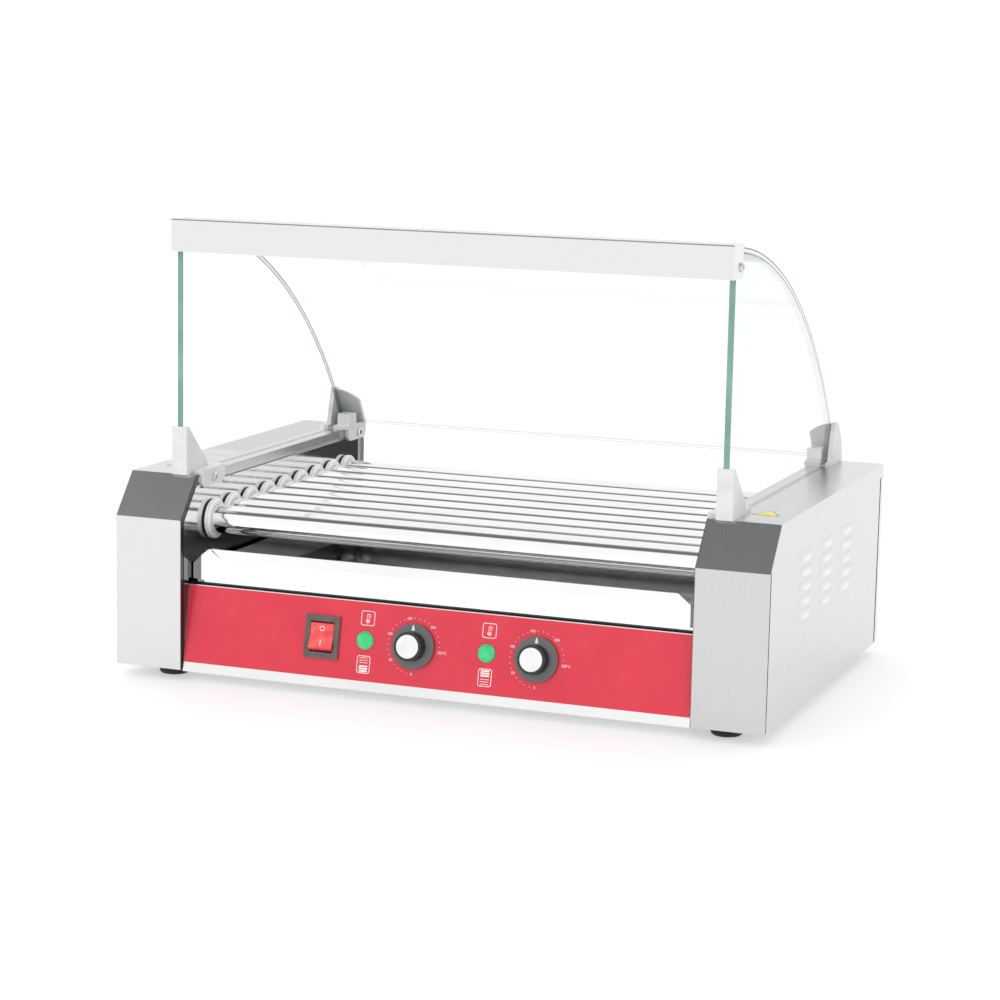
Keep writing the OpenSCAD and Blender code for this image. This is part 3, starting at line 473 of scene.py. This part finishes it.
MATERIALS = {
    "base_pan": pan_steel,
    "back_panel": steel_x,
    "control_panel": panel_steel(),
    "panel_label": red_label(),
    "left_side_cover": steel_y,
    "right_side_cover": steel_y,
    "left_inner_wall": bright_wall,
    "right_inner_wall": bright_wall,
    "tray_deck": deck_shade_steel,
    "drip_tray": tray_steel,
    "roller_bushes": white_ptfe,
    "roller_seals": black_rubber,
    "heating_rods": metal("heater_sheath", (0.10, 0.09, 0.08), (0.22, 0.20, 0.19), (0.4, 0.6)),
    "rod_supports": pan_steel,
    "drive_chain": chain_steel,
    "gear_motor": plastic("motor_case", (0.40, 0.41, 0.42), (0.52, 0.53, 0.54), (0.35, 0.5)),
    "motor_shaft": chain_steel,
    "motor_sprocket": chain_steel,
    "motor_bracket": pan_steel,
    "thermostats": plastic("thermostat_body", (0.70, 0.66, 0.55), (0.80, 0.76, 0.66), (0.4, 0.6)),
    "left_spindle": chain_steel,
    "right_spindle": chain_steel,
    "switch_housing": plastic("switch_housing", (0.085, 0.074, 0.067), (0.120, 0.106, 0.096),
                              (0.22, 0.34)),
    "switch_rocker": rocker_red(),
    "indicator_lamps": lens_green(),
    "rubber_feet": black_rubber,
    "foot_screws": screw_steel,
    "header_bar": header_steel(),
    "front_glass_brackets": bracket_grey,
    "rear_glass_brackets": bracket_grey,
    "pan_head_screws": screw_steel,
    "cable_gland": cable_black,
    "terminal_block": plastic("terminal_block", (0.74, 0.73, 0.70), (0.84, 0.83, 0.80), (0.4, 0.5)),
    "curved_glass": pane_glass("bent_glass", (0.10, 0.13, 0.12), (0.15, 0.19, 0.17), hood_centre()),
}
knob_black = knob_plastic()
knob_cap = metal("knob_cap", (0.84, 0.84, 0.84), (0.93, 0.93, 0.93), (0.25, 0.38), 90.0)
flat_glass = pane_glass("flat_glass", (0.15, 0.31, 0.25), (0.21, 0.39, 0.32))
for side, tone in FRONT_LIGHT_AND_SHADE.items():
    MATERIALS[side + "_front_cover"] = front_steel(side + "_front_steel", tone)
    MATERIALS[side + "_knob"] = knob_black
    MATERIALS[side + "_knob_cap"] = knob_cap
    MATERIALS[side + "_side_glass"] = flat_glass
for i in NINE:
    MATERIALS[f"roller_{i}"] = tube_steel
    MATERIALS[f"sprocket_{i}"] = chain_steel

for name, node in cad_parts.items():
    node.data.materials.clear()
    node.data.materials.append(MATERIALS[name])


FOLD_RADIUS = 0.35 * MM
FOLD_MIN_ANGLE = math.radians(35)
FOLDED = ("left_front_cover", "right_front_cover", "header_bar", "drip_tray", "control_panel",
          "front_glass_brackets", "rear_glass_brackets")


def soften_folds():
    """A small radius on the edges of folded sheets and cast brackets, to catch the light."""
    for name in FOLDED:
        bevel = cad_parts[name].modifiers.new("fold_radius", "BEVEL")
        bevel.width = FOLD_RADIUS
        bevel.segments = 2
        bevel.limit_method = "ANGLE"
        bevel.angle_limit = FOLD_MIN_ANGLE
        bevel.use_clamp_overlap = True


soften_folds()


# ---------------------------------------------------------------- printed marks
def print_ink(name, dark, light):
    """Screen-print ink: slightly uneven cover."""
    s = Surface(name, light, 0.4)
    s.colours(s.noise((900, 900, 900), 4.0), dark, light)
    s.bump(s.noise((1500, 1500, 1500), 2.0), 0.2, 0.02 * MM)
    return s.material


class Print:
    """Thin raised marks gathered into one mesh. Points are in a local frame's X and Y."""

    def __init__(self, name, material, thickness=PRINT_T):
        self.name = name
        self.material = material
        self.thickness = thickness
        self.mesh = bmesh.new()

    def prism(self, at, points):
        """A filled outline, counter-clockwise, standing on the frame at."""
        low = [self.mesh.verts.new(at @ Vector((x, y, 0))) for x, y in points]
        high = [self.mesh.verts.new(at @ Vector((x, y, self.thickness))) for x, y in points]
        self.mesh.faces.new(high)
        self.mesh.faces.new(list(reversed(low)))
        for k, _ in enumerate(points):
            n = (k + 1) % len(points)
            self.mesh.faces.new((low[k], low[n], high[n], high[k]))

    def ring(self, at, outer, inner):
        """The band between two outlines with the same number of points."""
        count = len(outer)
        for k in range(count):
            n = (k + 1) % count
            self.prism(at, [outer[k], outer[n], inner[n], inner[k]])

    def text(self, at, words, size):
        """Numbers centred on the frame at."""
        curve = bpy.data.curves.new(self.name + "_text", "FONT")
        curve.body = words
        curve.size = size
        curve.align_x = "CENTER"
        curve.align_y = "CENTER"
        curve.extrude = self.thickness / 2
        curve.resolution_u = 3
        holder = bpy.data.objects.new("text_tmp", curve)
        bpy.context.scene.collection.objects.link(holder)
        flat = bpy.data.meshes.new_from_object(holder)
        flat.transform(at @ Matrix.Translation((0, 0, self.thickness / 2)))
        self.mesh.from_mesh(flat)
        bpy.data.objects.remove(holder)
        bpy.data.meshes.remove(flat)

    def finish(self, body):
        mesh = bpy.data.meshes.new(self.name)
        bmesh.ops.recalc_face_normals(self.mesh, faces=self.mesh.faces)
        self.mesh.to_mesh(mesh)
        self.mesh.free()
        mesh.materials.append(self.material)
        piece = bpy.data.objects.new(self.name, mesh)
        bpy.context.scene.collection.objects.link(piece)
        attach(piece, body)


def circle(r, count=24, x=0.0, y=0.0, start=0.0, sweep=360.0):
    """Points on an arc; a full circle leaves out its last point."""
    steps = count if sweep >= 360 else count - 1
    return [(x + r * math.cos(math.radians(start + sweep * k / steps)),
             y + r * math.sin(math.radians(start + sweep * k / steps))) for k in range(count)]


def rounded(w, h, r):
    """Outline of a rounded rectangle, counter-clockwise."""
    corners = ((1, 1, 0), (-1, 1, 90), (-1, -1, 180), (1, -1, 270))
    return [p for sx, sy, a in corners
            for p in circle(r, 5, sx * (w / 2 - r), sy * (h / 2 - r), a, 90)]


def bar(w, h, x=0.0, y=0.0):
    left, right = x - w / 2, x + w / 2
    low, high = y - h / 2, y + h / 2
    return [(left, low), (right, low), (right, high), (left, high)]


white_ink = print_ink("white_ink", (0.78, 0.74, 0.74), (0.92, 0.90, 0.90))
dark_ink = print_ink("dark_ink", (0.02, 0.02, 0.02), (0.04, 0.04, 0.04))

DIAL_RING = 23.3 * MM
DIAL_STEP = 10
DIAL_TOP = 250
DIAL_SWEEP = 278
DIAL_NUMBER_EVERY = 50
DOT_R = 0.33 * MM
NUMBER_SIZE = 3.1 * MM
NUMBER_OUT = 0.5 * MM
LAST_NUMBER_SHIFT = 2.2 * MM


def dial_place(value):
    """Where a temperature sits round the dial, clockwise from straight down."""
    angle = math.radians(-90 - DIAL_SWEEP * value / DIAL_TOP)
    return math.cos(angle), math.sin(angle)


def dial_print(name, x):
    marks = Print(name, white_ink)
    for value in range(0, DIAL_TOP + 1, DIAL_STEP):
        c, s = dial_place(value)
        if value % DIAL_NUMBER_EVERY:
            at = on_panel(x + DIAL_RING * c, DIAL_UP + DIAL_RING * s, LABEL_FACE)
            marks.prism(at, circle(DOT_R, 12))
            continue
        last = value == DIAL_TOP
        across = (DIAL_RING + NUMBER_OUT) * c + (LAST_NUMBER_SHIFT if last else 0.0)
        at = on_panel(x + across, DIAL_UP + DIAL_RING * s, LABEL_FACE)
        marks.text(at, f"{value}°C" if last else str(value), NUMBER_SIZE)
    marks.finish("housing")


ICON_FRAME = 0.55 * MM
ICON_CORNER = 2 * MM
THERMOMETER_BOX = 12.4 * MM
THERMOMETER_UP = 61.2 * MM
THERMOMETER_SHIFT = 1 * MM
STEM_R, STEM_LINE, STEM_TOP = 0.9 * MM, 0.45 * MM, 3.0 * MM
BULB_R, BULB_LINE, BULB_LOW = 1.8 * MM, 0.5 * MM, -2.3 * MM
BULB_FILL_R = 0.8 * MM
BULB_OPEN = 30
TICK_W, TICK_H, TICK_X = 1.1 * MM, 0.4 * MM, 2.0 * MM
TICK_FIRST, TICK_STEP = 0.6 * MM, 1.3 * MM
ZONE_BOX = (12.0 * MM, 14.8 * MM)
ZONE_UP = 22.3 * MM
ZONE_BAR, ZONE_THIN, ZONE_THICK = 7.6 * MM, 0.45 * MM, 1.35 * MM
ZONE_FIRST, ZONE_STEP = 1.5 * MM, 2.0 * MM
LAMP_LEFT_OF_DIAL = 43.9 * MM


def icon_frame(marks, at, w, h):
    inner = rounded(w - 2 * ICON_FRAME, h - 2 * ICON_FRAME, ICON_CORNER - 0.5 * MM)
    marks.ring(at, rounded(w, h, ICON_CORNER), inner)


def thermometer_outline(bulb, stem):
    """From the bulb's open top round it, then round the stem's tip."""
    sweep = 360 - 2 * BULB_OPEN
    return (circle(bulb, 15, 0, BULB_LOW, 90 + BULB_OPEN, sweep)
            + circle(stem, 7, 0, STEM_TOP, 0, 180))


def thermometer_icon(marks, x, up):
    at = on_panel(x, up, LABEL_FACE)
    icon_frame(marks, at, THERMOMETER_BOX, THERMOMETER_BOX)
    marks.ring(at, thermometer_outline(BULB_R, STEM_R),
               thermometer_outline(BULB_R - BULB_LINE, STEM_R - STEM_LINE))
    marks.prism(at, circle(BULB_FILL_R, 12, 0, BULB_LOW))
    for k in range(3):
        marks.prism(at, bar(TICK_W, TICK_H, TICK_X, TICK_FIRST + k * TICK_STEP))


def zone_icon(marks, x, up, filled_low):
    at = on_panel(x, up, LABEL_FACE)
    icon_frame(marks, at, *ZONE_BOX)
    for k in range(3):
        off = ZONE_FIRST + k * ZONE_STEP
        thin, thick = (off, -off) if filled_low else (-off, off)
        marks.prism(at, bar(ZONE_BAR, ZONE_THIN, 0, thin))
        marks.prism(at, bar(ZONE_BAR, ZONE_THICK, 0, thick))


def panel_prints():
    for name, spindle, filled_low in (("front_zone", "left_spindle", True),
                                      ("rear_zone", "right_spindle", False)):
        x = centre_x(spindle)
        dial_print(name + "_dial_print", x)
        icons = Print(name + "_icons", white_ink)
        lamp_x = x - LAMP_LEFT_OF_DIAL
        thermometer_icon(icons, lamp_x + THERMOMETER_SHIFT, THERMOMETER_UP)
        zone_icon(icons, lamp_x, ZONE_UP, filled_low)
        icons.finish("housing")


POINTER_FOOT, POINTER_TIP = 13.2 * MM, 17.9 * MM
POINTER_HALF_FOOT, POINTER_HALF_TIP = 1.5 * MM, 0.35 * MM
POINTER_T = 0.08 * MM


def knob_pointers():
    for knob, body in (("left_knob", "front_zone_knob"), ("right_knob", "rear_zone_knob")):
        pointer = Print(knob + "_pointer", white_ink, POINTER_T)
        at = on_panel(centre_x(knob), DIAL_UP, SKIRT_TOP)
        pointer.prism(at, [(-POINTER_HALF_FOOT, POINTER_FOOT), (POINTER_HALF_FOOT, POINTER_FOOT),
                           (POINTER_HALF_TIP, POINTER_TIP), (-POINTER_HALF_TIP, POINTER_TIP)])
        pointer.finish(body)


ROCKER_MARK_OFF = 6.2 * MM
ROCKER_MARK_LIFT = 0.02 * MM
OFF_MARK_OUTER, OFF_MARK_INNER = 2.2 * MM, 1.6 * MM
ON_MARK = (0.7 * MM, 4.4 * MM)


def rocker_marks():
    x = centre_x("switch_rocker")
    pivot = on_panel(x, DIAL_UP, ROCKER_PIVOT) @ Matrix.Rotation(-ROCKER_REST, 4, "X")
    valley = pivot @ Matrix.Translation((0, 0, ROCKER_V + ROCKER_MARK_LIFT))
    marks = Print("switch_marks", white_ink)
    upper, lower = (valley @ Matrix.Rotation(way * ROCKER_REST, 4, "X")
                    @ Matrix.Translation((0, way * ROCKER_MARK_OFF, 0)) for way in (1, -1))
    marks.ring(upper, circle(OFF_MARK_OUTER), circle(OFF_MARK_INNER))
    marks.prism(lower, bar(*ON_MARK))
    marks.finish("power_rocker")


def triangle(side):
    """A triangle with rounded corners that points to +Y."""
    high = side * math.sqrt(3) / 2
    r = side * 0.07
    tips = ((0, high * 2 / 3 - 2 * r, 30), (-side / 2 + r * math.sqrt(3), r - high / 3, 150),
            (side / 2 - r * math.sqrt(3), r - high / 3, 270))
    return [p for x, y, a in tips for p in circle(r, 5, x, y, a, 120)]


STICKER_SIDE = 22 * MM
BORDER_SIDE = 25 * MM
STICKER_FROM_SIDE = 26 * MM
STICKER_FROM_FRONT = 70 * MM
STICKER_LIFT = 0.03 * MM


def box_top_stickers():
    """Plain yellow triangles with a dark border on the box tops, without a symbol."""
    yellow = print_ink("sticker_yellow", (0.80, 0.62, 0.03), (0.90, 0.74, 0.06))
    low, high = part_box("right_side_cover")
    x = high.x - STICKER_FROM_SIDE
    for name, side in (("right_sticker", 1), ("left_sticker", -1)):
        at = Matrix.Translation((side * x, low.y + STICKER_FROM_FRONT, high.z + STICKER_LIFT))
        face = Print(name, yellow)
        face.prism(at, triangle(STICKER_SIDE))
        face.finish("housing")
        border = Print(name + "_border", dark_ink)
        border.ring(at, triangle(BORDER_SIDE), triangle(STICKER_SIDE))
        border.finish("housing")


panel_prints()
knob_pointers()
rocker_marks()
box_top_stickers()


# ---------------------------------------------------------------- studio
FLOOR_HALF = 14.0
FLOOR_DROP = 0.2 * MM
FLOOR_GLOW = 0.46
FLOOR_SHADE = 0.50
CARD_LEFT, CARD_RIGHT = -0.9, 0.22
CARD_Y = 0.75
CARD_FOOT, CARD_TOP = 0.001, 0.13


def stage_sheet(name, corners, surface):
    """A flat four-cornered sheet of the studio, which isn't part of the grill."""
    mesh = bpy.data.meshes.new(name)
    mesh.from_pydata(corners, [], [(0, 1, 2, 3)])
    mesh.materials.append(surface.material)
    sheet = bpy.data.objects.new(name, mesh)
    bpy.context.scene.collection.objects.link(sheet)
    return sheet


def studio_floor():
    s = Surface("pale_floor", (FLOOR_SHADE,) * 3, 0.55)
    s.colours(s.noise((0.6, 0.6, 0.6), 2.0), (FLOOR_SHADE * 0.99,) * 3, (FLOOR_SHADE * 1.01,) * 3)
    s.set("Emission Color", (1, 1, 1, 1))
    s.set("Emission Strength", FLOOR_GLOW)
    h = FLOOR_HALF
    floor = stage_sheet("floor", [(-h, -h, 0), (h, -h, 0), (h, h, 0), (-h, h, 0)], s)
    floor.location.z = -FLOOR_DROP


def dark_card():
    """A card behind the grill, which only the steel's reflections see."""
    s = Surface("card_black", (0.02, 0.02, 0.02), 0.8)
    s.colours(s.noise((3, 3, 3), 2.0), (0.015, 0.015, 0.015), (0.03, 0.03, 0.03))
    corners = [(CARD_LEFT, CARD_Y, CARD_FOOT), (CARD_RIGHT, CARD_Y, CARD_FOOT),
               (CARD_RIGHT, CARD_Y, CARD_TOP), (CARD_LEFT, CARD_Y, CARD_TOP)]
    card = stage_sheet("dark_card", corners, s)
    card.visible_camera = False
    card.visible_diffuse = False
    card.visible_shadow = False


SKY_STRENGTH = 1.05
SKY_WHITE = (1, 1, 1, 1)
HORIZON = 0.01
GAP_SHADE = 0.17
GAP_BLUE = 1.005
GAP_MIDDLE = 0.385
GAP_REACH = 1.0
GAP_EDGES = ((0.30, 1.0), (0.40, GAP_SHADE), (0.60, GAP_SHADE), (0.72, 1.0))
GAP_STARTS_AT, GAP_FULL_AT = 0.40, 0.55


def gap_shade(sky, slope):
    """The sky's shade along Y: white, with a soft-edged dark gap."""
    ramp = sky.new("ValToRGB")
    ramp.color_ramp.interpolation = "EASE"
    while len(ramp.color_ramp.elements) < len(GAP_EDGES):
        ramp.color_ramp.elements.new(0.5)
    for element, (place, shade) in zip(ramp.color_ramp.elements, GAP_EDGES):
        element.position = place
        element.color = (shade, shade, shade * GAP_BLUE, 1)
    along = sky.spread(slope, 0.0, 1.0, -GAP_MIDDLE - GAP_REACH, -GAP_MIDDLE + GAP_REACH)
    sky.link(along, ramp.inputs["Fac"])
    return ramp.outputs["Color"]


def studio_sky():
    """White all round, with one dark gap between the ceiling's softboxes, running along X."""
    world = bpy.data.worlds.new("studio")
    bpy.context.scene.world = world
    world.use_nodes = True
    sky = Nodes(world.node_tree)
    split = sky.new("SeparateXYZ")
    sky.link(sky.new("TexCoord").outputs["Generated"], split.inputs["Vector"])
    height = sky.math("MAXIMUM", split.outputs["Z"], HORIZON)
    gap = gap_shade(sky, sky.math("DIVIDE", split.outputs["Y"], height))
    overhead = sky.spread(split.outputs["Z"], 0.0, 1.0, GAP_STARTS_AT, GAP_FULL_AT)
    background = sky.tree.nodes["Background"]
    sky.link(sky.mix_colours(overhead, SKY_WHITE, gap), background.inputs["Color"])
    background.inputs["Strength"].default_value = SKY_STRENGTH


def soft_sun(name, direction, strength, spread):
    """An even, very soft light from one side, kept out of the mirror-like steel."""
    light = bpy.data.lights.new(name, "SUN")
    light.energy = strength
    light.angle = math.radians(spread)
    lamp = bpy.data.objects.new(name, light)
    lamp.rotation_mode = "QUATERNION"
    lamp.rotation_quaternion = (-Vector(direction)).to_track_quat("-Z", "Y")
    lamp.visible_glossy = False
    bpy.context.scene.collection.objects.link(lamp)


# name, direction towards it, strength, angular size in degrees
SUNS = (("key", (-0.5, -0.9, 1.3), 0.9, 80), ("top", (0.1, 0.1, 1.0), 0.7, 150))

LENS_MM = 98.1
SENSOR_MM = 36.0
CAMERA_AT = (0.8366, -2.2246575, 0.5531)
CAMERA_YAW, CAMERA_DOWN, CAMERA_ROLL = (math.radians(a) for a in (-20.86, 9.7, 1.16))
CAMERA_CLIP = (0.05, 60.0)


def studio_camera():
    camera = bpy.data.cameras.new("camera")
    camera.lens = LENS_MM
    camera.sensor_width = SENSOR_MM
    camera.clip_start, camera.clip_end = CAMERA_CLIP
    level = math.cos(CAMERA_DOWN)
    forward = Vector((math.sin(CAMERA_YAW) * level, math.cos(CAMERA_YAW) * level,
                      -math.sin(CAMERA_DOWN)))
    right = Vector((math.cos(CAMERA_YAW), -math.sin(CAMERA_YAW), 0))
    up = right.cross(forward)
    side = math.cos(CAMERA_ROLL) * right + math.sin(CAMERA_ROLL) * up
    top = math.cos(CAMERA_ROLL) * up - math.sin(CAMERA_ROLL) * right
    place = Matrix((side, top, -forward)).transposed().to_4x4()
    place.translation = CAMERA_AT
    eye = bpy.data.objects.new("camera", camera)
    eye.matrix_world = place
    bpy.context.scene.collection.objects.link(eye)
    bpy.context.scene.camera = eye


studio_floor()
dark_card()
studio_sky()
for sun in SUNS:
    soft_sun(*sun)
studio_camera()
bpy.context.scene.view_settings.view_transform = "Standard"
